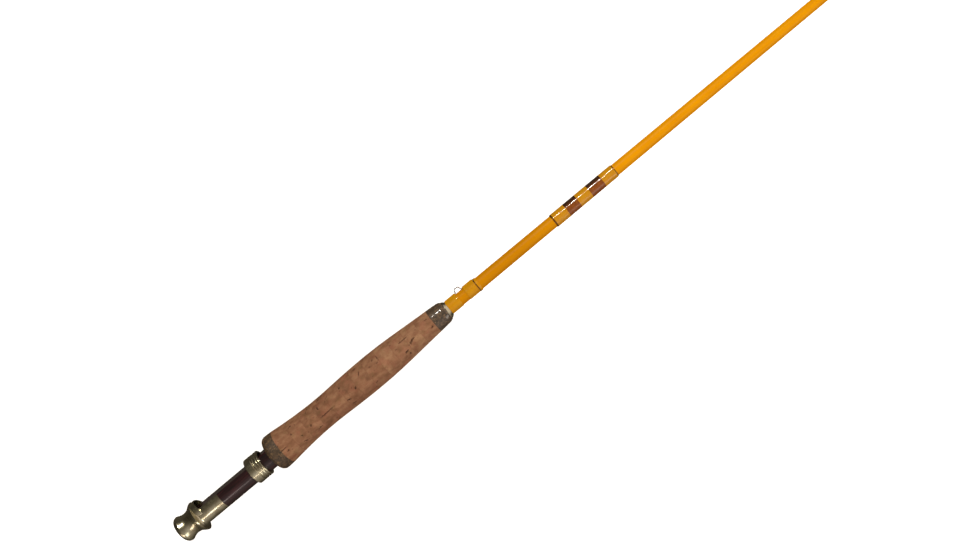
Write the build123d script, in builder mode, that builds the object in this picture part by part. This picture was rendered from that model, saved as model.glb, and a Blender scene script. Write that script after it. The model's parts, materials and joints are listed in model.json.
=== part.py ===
"""Two-piece fly rod: reel seat, cork grip, glass blank, thread wraps, line guides and spigot ferrule.

X runs along the rod's axis from the butt to the tip, +Y is the side that the reel and the guides are on, and
the rod lies on its side with +Z up. The origin is the centre of the butt cap's flat end. All in millimetres.
"""

import os
from math import cos, radians, sin, sqrt

from build123d import *

os.makedirs("parts", exist_ok=True)

# ---------------------------------------------------------------- driving dimensions
ROD_LENGTH = 2133.6  # seven feet
BOND = 0.02  # glue line between two bonded pieces
RUN = 0.10  # clearance of the sliding ring on the seat

# blank: parallel under the grip, then an even taper to the tip
BLANK_RADIUS = 5.3
TAPER_START = 290.0
TAPER = 0.00225  # radius lost per millimetre of length
BUTT_BORE = 3.9

# reel seat
CLEAR_X = 60.0  # cuts are carried to here along the rod
SIDE = 15.0  # and this far to each side of it
SEAT_RADIUS = 9.05
TENON_RADIUS = 8.25
FLAT_HEIGHT = 6.1  # from the axis to the flat that the reel's foot lies on
TENON_START = 12.2
POCKET_START = 16.5
FLAT_START = 16.6  # the tenon is left round behind this
FLAT_STEP = (15.8, 9.0)  # top of the slope that ends the flat
SLEEVE_END = 42.1
RUN_OUT_START = 72.0  # the flat climbs gently from here to the grip
RUN_OUT_HEIGHT = 7.3
KNOB_RADIUS = 11.1
END_FACE_RADIUS = 8.0
KNOB_CREST = 3.7  # where the knob is widest, along the rod
COVE_X = 10.0
COVE_RADIUS = 9.3
FLANGE_X = 19.0
FLANGE_RADIUS = 13.0
FLANGE_FOOT = 21.4
HOOD_RADIUS = 9.0
HOOD_RISE = 3.4  # the hood's own axis stands this far above the rod's
HOOD_WALL = 0.8
HOOD_BACK = (14.5, 6.5)  # the hood's back, along the rod and from its own axis
HOOD_SHOULDER_X = 17.6
HOOD_END = 34.0
POCKET_BACK_RADIUS = 7.4
POCKET_SHOULDER_X = 18.4
HOOD_TOP_X = 22.6  # the slanting mouth, at the hood's top
MOUTH_FOOT_X = 24.8  # and where it meets the flat

# sliding ring
RING_START = 72.2
RING_LENGTH = 12.5
RING_RADIUS = 11.15
RING_BEAD = 0.75
RING_BEADS = (7.2, 9.65, 11.75)

# grip: twelve half-inch cork rings between two of burl cork
GRIP_START = 92.4
CORK_START = 103.3
CORK_RING = 12.7
CORK_RINGS = 12
CORK_END = CORK_START + CORK_RINGS * CORK_RING
GRIP_END = 269.0
GRIP_OUTLINE = (
    (97.2, 15.15),
    (110.0, 14.15),
    (127.0, 12.75),
    (147.0, 12.2),
    (168.0, 12.9),
    (191.0, 13.4),
    (212.0, 12.95),
    (236.0, 11.35),
    (258.0, 9.8),
    (264.0, 9.3),
)
GRIP_REAR_FACE = 11.4
GRIP_FRONT_FACE = 7.75

# winding check and hook keeper
CHECK_LENGTH = 2.5
CHECK_RADIUS = 7.6
KEEPER_WIRE = 0.45
KEEPER_REACH = (274.5, 296.5)  # the two ends of its feet
KEEPER_LOOP = (283.0, 288.0)
KEEPER_TOP = 8.95
KEEPER_WRAPS = ((GRIP_END + CHECK_LENGTH, 282.1), (289.3, 301.9))
KEEPER_TRIM = (299.2, 300.0)

# thread wraps
THREAD = 0.35  # thread and its finish over the blank or over a guide's foot
BAND_THREAD = 0.62  # the decorated bands carry more coats
TRIM = 1.2
BANDS = (
    ("label_trim_rear", 377.2, 378.4),
    ("label_wrap_rear", 378.4, 390.5),
    ("brown_band_rear", 390.5, 401.9),
    ("label_wrap_middle", 401.9, 413.4),
    ("brown_band_front", 413.4, 426.4),
    ("label_wrap_front", 426.4, 438.4),
    ("label_trim_front", 438.4, 439.2),
)

# ferrule: a spigot bonded into the butt section, with a short gap left for wear
BUTT_SECTION_END = 1064.8
TIP_SECTION_START = 1068.8
SPIGOT_RADIUS = 2.6
SPIGOT_REACH = (1005.0, 1118.8)
SPIGOT_BORE_DEPTH = 54.0
SPIGOT_SLIP = 0.05
FERRULE_WRAP = 16.0

# guides, by distance from the butt
STRIPPER_X = 714.0
STRIPPER_WIRE = 0.6
STRIPPER_RING_RADIUS = 4.7  # the hole the line runs through
STRIPPER_CENTRE = 10.2  # the hole's centre above the blank's skin
STRIPPER_FOOT = (9.5, 22.0)
STRIPPER_PAD = 2.4
STRIPPER_WRAP = (11.5, 24.0)
SNAKE_WIRE = 0.45
SNAKE_FOOT = 13.5
SNAKE_LOOP_RUN = 5.2
SNAKE_GUIDES = (
    ("snake_guide_1", ROD_LENGTH - 1110.0, 6.6),
    ("snake_guide_2", ROD_LENGTH - 795.0, 6.2),
    ("snake_guide_3", ROD_LENGTH - 545.0, 5.6),
    ("snake_guide_4", ROD_LENGTH - 330.0, 5.0),
    ("snake_guide_5", ROD_LENGTH - 150.0, 4.6),
)
SNAKE_WRAP = (6.6, 15.5)

# tip-top
TIP_TUBE_LENGTH = 11.0
TIP_TUBE_WALL = 0.55
TIP_TUBE_CAP = 0.8
TIP_WIRE = 0.4
TIP_LOOP_RADIUS = 2.6
TIP_LOOP_TILT = 35.0
TIP_BLANK_END = ROD_LENGTH - 4.4


def blank_radius(x):
    """The blank's outer radius at a distance from the butt."""
    return BLANK_RADIUS - TAPER * max(0.0, x - TAPER_START)


def finish(piece, name):
    """Labels a finished piece and writes it."""
    piece.part.label = name
    export_step(piece.part, f"parts/{name}.step")


def turned(points):
    """A solid of revolution about the rod's axis from a closed outline of (x, radius) points."""
    with BuildPart() as piece:
        with BuildSketch(Plane.XY):
            with BuildLine():
                Polyline(*points, close=True)
            make_face()
        revolve(axis=Axis.X)
    return piece


def wire(points, radii, thickness):
    """A round wire along straight runs joined by arcs."""
    with BuildPart() as piece:
        with BuildLine() as path:
            FilletPolyline(*points, radius=radii)
        with BuildSketch(Plane(origin=path.line @ 0, z_dir=path.line % 0)):
            Circle(thickness)
        sweep(path=path.line)
    return piece


def band(start, end, thickness):
    """A plain ring of thread round the blank."""
    return turned(
        [
            (start, blank_radius(start) + BOND),
            (start, blank_radius(start) + thickness),
            (end, blank_radius(end) + thickness),
            (end, blank_radius(end) + BOND),
        ]
    )


def tent(skin, half_width, crown, corner, skirt):
    """The outline of thread drawn taut over the blank and over a guide's foot, as edges for a hull."""
    CenterArc((0, 0), skin + skirt, 0, 360)
    for side in {half_width - corner, corner - half_width}:
        CenterArc((crown - corner, side), corner + skirt, 0, 360)


def foot_wraps(spans, half_width, crown, corner):
    """Thread wound over the blank and over a guide's foot, one solid for each (start, end) span.

    The foot is half_width to each side of the middle, its top is crown above the rod's axis, and its edges
    are rounded to corner.
    """
    with BuildPart() as piece:
        for start, end in spans:
            for skirt, mode in ((THREAD, Mode.ADD), (BOND, Mode.SUBTRACT)):
                with BuildSketch(Plane.YZ.offset(start)):
                    with BuildLine():
                        tent(blank_radius(start), half_width, crown, corner, skirt)
                    make_hull()
                extrude(amount=end - start, mode=mode)
    return piece


# ---------------------------------------------------------------- butt cap with its hood
with BuildPart() as hood:
    with BuildSketch(Plane.XY):
        with BuildLine():
            Polyline(
                (HOOD_BACK[0], HOOD_RISE),
                (HOOD_BACK[0], HOOD_RISE + HOOD_BACK[1]),
                (HOOD_SHOULDER_X, HOOD_RISE + HOOD_RADIUS),
                (HOOD_END, HOOD_RISE + HOOD_RADIUS),
                (HOOD_END, HOOD_RISE),
                close=True,
            )
        make_face()
    revolve(axis=Axis((0, HOOD_RISE, 0), (1, 0, 0)))
    # the mouth slants down to the flat, and below it the hood ends square
    with BuildSketch(Plane.XY.offset(-SIDE)):
        with BuildLine():
            Polyline(
                (2 * HOOD_TOP_X - MOUTH_FOOT_X, 2 * (HOOD_RISE + HOOD_RADIUS) - FLAT_HEIGHT),
                (MOUTH_FOOT_X, FLAT_HEIGHT),
                (MOUTH_FOOT_X, -SIDE),
                (CLEAR_X, -SIDE),
                (CLEAR_X, 2 * (HOOD_RISE + HOOD_RADIUS) - FLAT_HEIGHT),
                close=True,
            )
        make_face()
    extrude(amount=2 * SIDE, mode=Mode.SUBTRACT)

with BuildPart() as pocket:
    with BuildSketch(Plane.XY):
        with BuildLine():
            Polyline(
                (POCKET_START, HOOD_RISE),
                (POCKET_START, HOOD_RISE + POCKET_BACK_RADIUS),
                (POCKET_SHOULDER_X, HOOD_RISE + HOOD_RADIUS - HOOD_WALL),
                (HOOD_END + 2, HOOD_RISE + HOOD_RADIUS - HOOD_WALL),
                (HOOD_END + 2, HOOD_RISE),
                close=True,
            )
        make_face()
    revolve(axis=Axis((0, HOOD_RISE, 0), (1, 0, 0)))
    with BuildSketch(Plane.XZ.offset(-FLAT_HEIGHT)):
        with Locations((CLEAR_X / 2, 0)):
            Rectangle(CLEAR_X, 2 * SIDE)
    extrude(amount=SIDE, mode=Mode.SUBTRACT)

with BuildPart() as butt_cap:
    with BuildSketch(Plane.XY):
        with BuildLine():
            Line((TENON_START, 0), (0, 0))
            Line((0, 0), (0, END_FACE_RADIUS))
            ThreePointArc((0, END_FACE_RADIUS), (1.1, 10.1), (KNOB_CREST - 0.4, KNOB_RADIUS - 0.08))
            Spline(
                (KNOB_CREST - 0.4, KNOB_RADIUS - 0.08),
                (KNOB_CREST, KNOB_RADIUS),
                (KNOB_CREST + 0.4, KNOB_RADIUS - 0.1),
                tangents=((1, 0.3), (1, -0.4)),
            )
            Spline((KNOB_CREST + 0.4, KNOB_RADIUS - 0.1), (COVE_X, COVE_RADIUS), tangents=((1, -0.4), (1, 0)))
            Spline((COVE_X, COVE_RADIUS), (14.9, 10.6), (FLANGE_X, FLANGE_RADIUS), tangents=((1, 0), (1, 0.25)))
            Spline(
                (FLANGE_X, FLANGE_RADIUS),
                (FLANGE_FOOT, SEAT_RADIUS),
                tangents=((0.35, -1), (1, -0.4)),
            )
            Line((FLANGE_FOOT, SEAT_RADIUS), (SLEEVE_END, SEAT_RADIUS))
            Line((SLEEVE_END, SEAT_RADIUS), (SLEEVE_END, TENON_RADIUS + BOND))
            Line((SLEEVE_END, TENON_RADIUS + BOND), (TENON_START, TENON_RADIUS + BOND))
            Line((TENON_START, TENON_RADIUS + BOND), (TENON_START, 0))
        make_face()
    revolve(axis=Axis.X)
    add(hood.part)
    # bore for the seat's tenon, round at its end and then only up to the flat, and the pocket over it
    with BuildSketch(Plane.YZ.offset(TENON_START)):
        Circle(TENON_RADIUS + BOND)
    extrude(amount=POCKET_START - TENON_START, mode=Mode.SUBTRACT)
    with BuildSketch(Plane.YZ.offset(TENON_START)):
        Circle(TENON_RADIUS + BOND)
        with Locations((FLAT_HEIGHT + SIDE, 0)):
            Rectangle(2 * SIDE, 2 * SIDE, mode=Mode.SUBTRACT)
    extrude(amount=SLEEVE_END - TENON_START, mode=Mode.SUBTRACT)
    add(pocket.part, mode=Mode.SUBTRACT)
    # the sleeve is open along the flat
    with BuildSketch(Plane.XY.offset(-SIDE)):
        with BuildLine():
            Polyline(
                (HOOD_TOP_X, HOOD_RISE + HOOD_RADIUS),
                (MOUTH_FOOT_X, FLAT_HEIGHT),
                (CLEAR_X, FLAT_HEIGHT),
                (CLEAR_X, HOOD_RISE + HOOD_RADIUS),
                close=True,
            )
        make_face()
    extrude(amount=2 * SIDE, mode=Mode.SUBTRACT)
finish(butt_cap, "butt_cap")

# ---------------------------------------------------------------- seat insert
with BuildPart() as reel_seat_insert:
    with BuildSketch(Plane.XY):
        with BuildLine():
            Polyline(
                (TENON_START, BLANK_RADIUS + BOND),
                (TENON_START, TENON_RADIUS),
                (SLEEVE_END, TENON_RADIUS),
                (SLEEVE_END, SEAT_RADIUS),
                (GRIP_START, SEAT_RADIUS),
                (GRIP_START, BLANK_RADIUS + BOND),
                close=True,
            )
        make_face()
    revolve(axis=Axis.X)
    with BuildSketch(Plane.XY.offset(-SIDE)):
        with BuildLine():
            Polyline(
                (FLAT_START, FLAT_HEIGHT),
                (RUN_OUT_START, FLAT_HEIGHT),
                (GRIP_START, RUN_OUT_HEIGHT),
                (GRIP_START + 1, RUN_OUT_HEIGHT),
                (GRIP_START + 1, SIDE),
                (FLAT_STEP[0], SIDE),
                FLAT_STEP,
                close=True,
            )
        make_face()
    extrude(amount=2 * SIDE, mode=Mode.SUBTRACT)
finish(reel_seat_insert, "reel_seat_insert")

# ---------------------------------------------------------------- sliding ring
with BuildPart() as sliding_ring:
    groove_floor = RING_RADIUS - 0.5
    first_bead = RING_START + RING_BEADS[0] - RING_BEAD
    with BuildSketch(Plane.XY):
        with BuildLine():
            Polyline(
                (RING_START, SEAT_RADIUS + RUN),
                (RING_START, RING_RADIUS - 0.5),
                (RING_START + 0.5, RING_RADIUS),
                (first_bead - 0.7, RING_RADIUS),
                (first_bead - 0.2, groove_floor),
                (RING_START + RING_LENGTH, groove_floor),
                (RING_START + RING_LENGTH, SEAT_RADIUS + RUN),
                close=True,
            )
        make_face()
        with Locations(*[(RING_START + x, groove_floor - 0.2) for x in RING_BEADS]):
            Circle(RING_BEAD)
    revolve(axis=Axis.X)
finish(sliding_ring, "sliding_ring")


# ---------------------------------------------------------------- grip
def grip_slice(start, end):
    """The part of the shaped grip between two stations, bored for the blank."""
    with BuildPart() as piece:
        with BuildSketch(Plane.XY):
            with BuildLine():
                Line((GRIP_START, BLANK_RADIUS + BOND), (GRIP_START, GRIP_REAR_FACE))
                ThreePointArc((GRIP_START, GRIP_REAR_FACE), (93.6, 13.9), GRIP_OUTLINE[0])
                Spline(*GRIP_OUTLINE, tangents=((1, 0), (1, -0.12)))
                ThreePointArc(GRIP_OUTLINE[-1], (267.2, 8.75), (GRIP_END, GRIP_FRONT_FACE))
                Line((GRIP_END, GRIP_FRONT_FACE), (GRIP_END, BLANK_RADIUS + BOND))
                Line((GRIP_END, BLANK_RADIUS + BOND), (GRIP_START, BLANK_RADIUS + BOND))
            make_face()
            with Locations(((start + end) / 2, 10)):
                Rectangle(end - start, 20, mode=Mode.INTERSECT)
        revolve(axis=Axis.X)
    return piece


finish(grip_slice(GRIP_START, CORK_START), "rear_burl_ring")
for number in range(1, CORK_RINGS + 1):
    ring_start = CORK_START + (number - 1) * CORK_RING
    finish(grip_slice(ring_start, ring_start + CORK_RING), f"cork_ring_{number:02d}")
finish(grip_slice(CORK_END, GRIP_END), "front_burl_ring")

# ---------------------------------------------------------------- blank, butt section
butt_blank = turned(
    [
        (TENON_START, BUTT_BORE),
        (TENON_START, BLANK_RADIUS),
        (TAPER_START, BLANK_RADIUS),
        (BUTT_SECTION_END, blank_radius(BUTT_SECTION_END)),
        (BUTT_SECTION_END, SPIGOT_RADIUS + BOND),
        (SPIGOT_REACH[0], SPIGOT_RADIUS + BOND),
    ]
)
finish(butt_blank, "butt_blank")

# ---------------------------------------------------------------- winding check
winding_check = turned(
    [
        (GRIP_END, BLANK_RADIUS + BOND),
        (GRIP_END, CHECK_RADIUS),
        (GRIP_END + 0.5, CHECK_RADIUS),
        (GRIP_END + CHECK_LENGTH, 6.1),
        (GRIP_END + CHECK_LENGTH, BLANK_RADIUS + BOND),
    ]
)
finish(winding_check, "winding_check")

# ---------------------------------------------------------------- hook keeper and its wraps
keeper_foot = BLANK_RADIUS + BOND + KEEPER_WIRE
hook_keeper = wire(
    [
        (KEEPER_REACH[0], keeper_foot, 0),
        (KEEPER_LOOP[0], keeper_foot, 0),
        (KEEPER_LOOP[0], KEEPER_TOP, 0),
        (KEEPER_LOOP[1], KEEPER_TOP, 0),
        (KEEPER_LOOP[1], keeper_foot, 0),
        (KEEPER_REACH[1], keeper_foot, 0),
    ],
    [0.8, 2.2, 2.2, 0.8],
    KEEPER_WIRE,
)
finish(hook_keeper, "hook_keeper")

keeper_size = (KEEPER_WIRE, keeper_foot + KEEPER_WIRE, KEEPER_WIRE)
finish(foot_wraps([KEEPER_WRAPS[0]], *keeper_size), "keeper_wrap_rear")
finish(foot_wraps([(KEEPER_WRAPS[1][0], KEEPER_TRIM[0])], *keeper_size), "keeper_wrap_front")
finish(band(*KEEPER_TRIM, BAND_THREAD), "keeper_trim")
finish(band(KEEPER_TRIM[1], KEEPER_WRAPS[1][1], BAND_THREAD), "keeper_wrap_end")

# ---------------------------------------------------------------- decorated bands
for name, start, end in BANDS:
    finish(band(start, end, BAND_THREAD), name)

# ---------------------------------------------------------------- stripping guide
stripper_skin = blank_radius(STRIPPER_X - STRIPPER_FOOT[1]) + BOND
stripper_centre = stripper_skin + STRIPPER_CENTRE
frame_inner = STRIPPER_RING_RADIUS + 0.9
frame_outer = frame_inner + 0.9

with BuildPart() as stripping_guide_ring:
    with BuildSketch(Plane.XY):
        with Locations((STRIPPER_X, stripper_centre + (STRIPPER_RING_RADIUS + frame_inner) / 2)):
            SlotOverall(2.6, frame_inner - STRIPPER_RING_RADIUS)
    revolve(axis=Axis((0, stripper_centre, 0), (1, 0, 0)))
finish(stripping_guide_ring, "stripping_guide_ring")

STRUTS = (
    (-1, 4.6),
    (-1, -4.6),
    (1, 0.0),
)
with BuildPart() as stripping_guide_frame:
    with BuildSketch(Plane.YZ.offset(STRIPPER_X - 0.8)):
        with Locations((stripper_centre, 0)):
            Circle(frame_outer)
            Circle(frame_inner + BOND, mode=Mode.SUBTRACT)
    extrude(amount=1.6)
    for way, side in STRUTS:
        rim = stripper_centre - sqrt((frame_outer - 0.25) ** 2 - side**2)
        add(
            wire(
                [
                    (STRIPPER_X, rim, side),
                    (STRIPPER_X + 5.0 * way, (rim + stripper_skin) / 2 + 0.4, side * 0.6),
                    (STRIPPER_X + way * STRIPPER_FOOT[0], stripper_skin + STRIPPER_WIRE, side * 0.13),
                    (STRIPPER_X + way * (STRIPPER_FOOT[0] + 4), stripper_skin + STRIPPER_WIRE, side * 0.13),
                ],
                [2.5, 3.0],
                STRIPPER_WIRE,
            ).part
        )
    for way in (-1, 1):
        with BuildSketch(Plane.XZ.offset(-stripper_skin)):
            with Locations((STRIPPER_X + way * sum(STRIPPER_FOOT) / 2, 0)):
                SlotOverall(STRIPPER_FOOT[1] - STRIPPER_FOOT[0], STRIPPER_PAD)
        extrude(amount=-0.8)
finish(stripping_guide_frame, "stripping_guide_frame")

stripper_spans = [
    (STRIPPER_X - STRIPPER_WRAP[1], STRIPPER_X - STRIPPER_WRAP[0]),
    (STRIPPER_X + STRIPPER_WRAP[0], STRIPPER_X + STRIPPER_WRAP[1]),
]
stripping_guide_wraps = foot_wraps(
    stripper_spans, STRIPPER_PAD / 2 + BOND, stripper_skin + 2 * STRIPPER_WIRE + BOND, 0.15
)
finish(stripping_guide_wraps, "stripping_guide_wraps")

# ---------------------------------------------------------------- snake guides
for name, x, hole in SNAKE_GUIDES:
    foot = blank_radius(x - SNAKE_FOOT) + BOND + SNAKE_WIRE
    loop = hole / 2 + SNAKE_WIRE
    top = foot + 2 * loop
    guide = wire(
        [
            (x - SNAKE_FOOT, foot, 0),
            (x - SNAKE_LOOP_RUN, foot, 0),
            (x - 0.62 * SNAKE_LOOP_RUN, foot + 0.25 * loop, loop),
            (x - 0.2 * SNAKE_LOOP_RUN, top, 0.9 * loop),
            (x + 0.2 * SNAKE_LOOP_RUN, top, -0.9 * loop),
            (x + 0.62 * SNAKE_LOOP_RUN, foot + 0.25 * loop, -loop),
            (x + SNAKE_LOOP_RUN, foot, 0),
            (x + SNAKE_FOOT, foot, 0),
        ],
        [0.45 * loop, 0.5 * loop, 0.75 * loop, 0.75 * loop, 0.5 * loop, 0.45 * loop],
        SNAKE_WIRE,
    )
    finish(guide, name)
    snake_spans = [(x - SNAKE_WRAP[1], x - SNAKE_WRAP[0]), (x + SNAKE_WRAP[0], x + SNAKE_WRAP[1])]
    finish(foot_wraps(snake_spans, SNAKE_WIRE, foot + SNAKE_WIRE, SNAKE_WIRE), f"{name}_wraps")

# ---------------------------------------------------------------- ferrule
finish(band(BUTT_SECTION_END - FERRULE_WRAP, BUTT_SECTION_END, THREAD), "butt_ferrule_wrap")
ferrule_spigot = turned(
    [
        (SPIGOT_REACH[0], 0),
        (SPIGOT_REACH[0], SPIGOT_RADIUS),
        (SPIGOT_REACH[1] - 1.0, SPIGOT_RADIUS),
        (SPIGOT_REACH[1], SPIGOT_RADIUS - 0.6),
        (SPIGOT_REACH[1], 0),
    ]
)
finish(ferrule_spigot, "ferrule_spigot")

# ---------------------------------------------------------------- blank, tip section
bore_end = TIP_SECTION_START + SPIGOT_BORE_DEPTH
tip_blank = turned(
    [
        (TIP_SECTION_START, SPIGOT_RADIUS + SPIGOT_SLIP),
        (TIP_SECTION_START, blank_radius(TIP_SECTION_START)),
        (TIP_BLANK_END, blank_radius(TIP_BLANK_END)),
        (TIP_BLANK_END, 0.5),
        (bore_end, 2.0),
        (bore_end, SPIGOT_RADIUS + SPIGOT_SLIP),
    ]
)
finish(tip_blank, "tip_blank")
finish(band(TIP_SECTION_START, TIP_SECTION_START + FERRULE_WRAP, THREAD), "tip_ferrule_wrap")

# ---------------------------------------------------------------- tip-top
tube_start = TIP_BLANK_END - TIP_TUBE_LENGTH
tube_bore = blank_radius(tube_start) + BOND
tube_radius = tube_bore + TIP_TUBE_WALL
tip_top_tube = turned(
    [
        (tube_start, tube_bore),
        (tube_start, tube_radius),
        (TIP_BLANK_END + TIP_TUBE_CAP, tube_radius),
        (TIP_BLANK_END + TIP_TUBE_CAP, 0),
        (TIP_BLANK_END + 0.1, 0),
        (TIP_BLANK_END + 0.1, tube_bore),
    ]
)
finish(tip_top_tube, "tip_top_tube")

leg_side = tube_radius + BOND + TIP_WIRE
loop_reach = TIP_LOOP_RADIUS + TIP_WIRE
lean = radians(TIP_LOOP_TILT)
loop_centre = (
    ROD_LENGTH - TIP_WIRE - loop_reach * sin(lean),
    leg_side + loop_reach * cos(lean),
    0,
)
with BuildPart() as tip_top_loop:
    with Locations(Location(Plane(origin=loop_centre, x_dir=(0, 0, 1), z_dir=(cos(lean), -sin(lean), 0)))):
        Torus(loop_reach, TIP_WIRE, rotation=(0, 0, 45))
    for side in (-1, 1):
        add(
            wire(
                [
                    (tube_start + 3.0, 0, side * leg_side),
                    (TIP_BLANK_END - 2.0, 0, side * leg_side),
                    (loop_centre[0], loop_centre[1], side * loop_reach),
                ],
                [3.0],
                TIP_WIRE,
            ).part
        )
finish(tip_top_loop, "tip_top_loop")
finish(band(tube_start - 8.0, tube_start, THREAD), "tip_top_wrap")
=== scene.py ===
"""Looks of a two-piece fly rod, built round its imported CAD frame.

The rod lies along X from the butt to the tip with its reel and guides towards +Y. Sizes below are in millimetres
and are turned to metres where a mesh is made.
"""

from __future__ import annotations

import json
import logging
import math
from dataclasses import dataclass
from enum import Enum
from typing import Any, Iterable, Sequence

import bpy
import numpy as np
from mathutils import Matrix, Vector

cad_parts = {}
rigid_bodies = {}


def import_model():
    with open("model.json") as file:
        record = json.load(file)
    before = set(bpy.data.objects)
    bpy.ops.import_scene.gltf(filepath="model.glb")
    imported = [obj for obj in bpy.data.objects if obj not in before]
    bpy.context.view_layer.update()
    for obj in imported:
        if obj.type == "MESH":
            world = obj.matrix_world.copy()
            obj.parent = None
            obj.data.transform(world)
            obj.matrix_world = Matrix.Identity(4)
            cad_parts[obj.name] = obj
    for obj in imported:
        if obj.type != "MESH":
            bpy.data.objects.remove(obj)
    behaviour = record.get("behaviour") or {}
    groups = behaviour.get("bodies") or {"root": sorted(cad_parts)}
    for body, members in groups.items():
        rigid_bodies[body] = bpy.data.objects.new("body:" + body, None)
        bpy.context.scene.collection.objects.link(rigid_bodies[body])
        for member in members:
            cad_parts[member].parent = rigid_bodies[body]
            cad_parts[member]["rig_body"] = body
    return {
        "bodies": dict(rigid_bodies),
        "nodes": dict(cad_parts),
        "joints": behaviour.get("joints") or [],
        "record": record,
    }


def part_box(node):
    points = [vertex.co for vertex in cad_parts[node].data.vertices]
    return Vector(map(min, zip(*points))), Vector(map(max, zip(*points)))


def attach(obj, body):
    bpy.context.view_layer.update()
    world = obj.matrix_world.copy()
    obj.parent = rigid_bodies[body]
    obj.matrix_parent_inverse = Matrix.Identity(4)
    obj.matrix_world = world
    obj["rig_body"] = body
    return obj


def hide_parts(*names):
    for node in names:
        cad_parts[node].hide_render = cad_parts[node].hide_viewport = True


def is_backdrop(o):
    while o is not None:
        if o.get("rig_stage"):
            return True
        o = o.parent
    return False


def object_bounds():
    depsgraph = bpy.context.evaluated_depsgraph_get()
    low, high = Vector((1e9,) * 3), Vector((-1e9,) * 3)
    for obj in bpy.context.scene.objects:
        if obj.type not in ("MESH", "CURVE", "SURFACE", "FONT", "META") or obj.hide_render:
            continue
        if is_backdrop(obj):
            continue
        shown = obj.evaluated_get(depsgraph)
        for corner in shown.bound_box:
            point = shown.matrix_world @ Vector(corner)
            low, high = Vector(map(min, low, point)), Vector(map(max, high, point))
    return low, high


MM = 0.001
FLOOR_GAP = 0.02  # between the rod's lowest point and the paper, in millimetres
LOG = logging.getLogger("fly_rod")


# ---------------------------------------------------------------- colour and nodes
def linear(colour: str) -> tuple[float, float, float, float]:
    """Turns an sRGB hex colour to linear light.

    Args:
        colour: six hex digits.

    Returns:
        Red, green, blue and an alpha of one.
    """
    parts = [int(colour[i : i + 2], 16) / 255 for i in (0, 2, 4)]
    red, green, blue = (c / 12.92 if c <= 0.04045 else ((c + 0.055) / 1.055) ** 2.4 for c in parts)
    return red, green, blue, 1.0


def add(
    tree: bpy.types.NodeTree,
    kind: str,
    settings: dict[str, Any] | None = None,
    inputs: dict[str | int, Any] | None = None,
    stops: Sequence[tuple[float, str]] = (),
) -> bpy.types.Node:
    """Adds one node with its settings, its socket values and its links.

    Args:
        tree: the node tree that it goes into.
        kind: the node's type, without the leading ShaderNode.
        settings: the node's own properties by name.
        inputs: for a socket's name or number, a value or the output socket that feeds it.
        stops: a colour ramp's places and hex colours.

    Returns:
        The new node.
    """
    node = tree.nodes.new("ShaderNode" + kind)
    for name, value in (settings or {}).items():
        setattr(node, name, value)
    for key, value in (inputs or {}).items():
        if isinstance(value, bpy.types.NodeSocket):
            tree.links.new(value, node.inputs[key])
        else:
            node.inputs[key].default_value = value
    if stops:
        ramp = node.color_ramp
        while len(ramp.elements) < len(stops):
            ramp.elements.new(0.5)
        for element, (place, colour) in zip(ramp.elements, stops):
            element.position, element.color = place, linear(colour)
    return node


def blend_colours(tree: bpy.types.NodeTree, share: Any, first: Any, second: Any) -> bpy.types.NodeSocket:
    """Mixes two colours.

    Args:
        tree: the node tree.
        share: how much of the second, a number or a socket.
        first: a hex colour or a socket.
        second: a hex colour or a socket.

    Returns:
        The mixed colour's socket.
    """
    colours = [linear(c) if isinstance(c, str) else c for c in (first, second)]
    return add(tree, "Mix", {"data_type": "RGBA"}, {0: share, 6: colours[0], 7: colours[1]}).outputs[2]


def speckle(
    tree: bpy.types.NodeTree, size: float, detail: float = 3.0, stretch: float = 1.0, seed: Any = 0.0
) -> bpy.types.NodeSocket:
    """Noise of a real size, fixed to the piece.

    Args:
        tree: the node tree.
        size: the width of a patch, in millimetres.
        detail: how many finer layers it has.
        stretch: how many times longer a patch is along the rod than across it.
        seed: the noise's fourth coordinate, a number or a socket.

    Returns:
        The noise's value socket, about 0.5 on average.
    """
    place = add(tree, "TexCoord").outputs["Object"]
    if stretch != 1.0:
        place = add(tree, "Mapping", None, {"Vector": place, "Scale": (1 / stretch, 1, 1)}).outputs[0]
    noise = add(
        tree,
        "TexNoise",
        {"noise_dimensions": "4D"},
        {"Vector": place, "W": seed, "Scale": 1 / (size * MM), "Detail": detail},
    )
    return noise.outputs[0]


def remap(tree: bpy.types.NodeTree, value: Any, low: float, high: float, to_low: float, to_high: float) -> Any:
    """Stretches a value from one range to another, held at the ends.

    Args:
        tree: the node tree.
        value: the value's socket.
        low: where the first range starts.
        high: where it ends.
        to_low: what its start becomes.
        to_high: what its end becomes.

    Returns:
        The new value's socket.
    """
    ends = {"From Min": low, "From Max": high, "To Min": to_low, "To Max": to_high}
    return add(tree, "MapRange", None, {"Value": value, **ends}).outputs[0]


def relief(tree: bpy.types.NodeTree, height: Any, depth: float, below: Any = None) -> bpy.types.NodeSocket:
    """A fine surface relief.

    Args:
        tree: the node tree.
        height: the socket that gives the height, from 0 to 1.
        depth: the relief's depth in millimetres.
        below: a coarser relief's normal that this one lies on.

    Returns:
        The normal's socket.
    """
    inputs = {"Height": height, "Distance": depth * MM}
    if below is not None:
        inputs["Normal"] = below
    return add(tree, "Bump", None, inputs).outputs[0]


def turning_lines(tree: bpy.types.NodeTree, pitch: float, waver: float = 0.0) -> bpy.types.NodeSocket:
    """Lines round the rod at an even pitch along it.

    Args:
        tree: the node tree.
        pitch: the distance between lines in millimetres.
        waver: how far the lines wander.

    Returns:
        The lines' height, from 0 to 1.
    """
    place = add(tree, "TexCoord").outputs["Object"]
    # a wave node's line repeats every 2 pi / 20 units at a scale of one
    scale = math.tau / (20 * pitch * MM)
    return add(
        tree,
        "TexWave",
        {"wave_type": "BANDS", "bands_direction": "X"},
        {"Vector": place, "Scale": scale, "Distortion": waver, "Detail": 1.0, "Detail Scale": 0.3},
    ).outputs[1]


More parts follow.
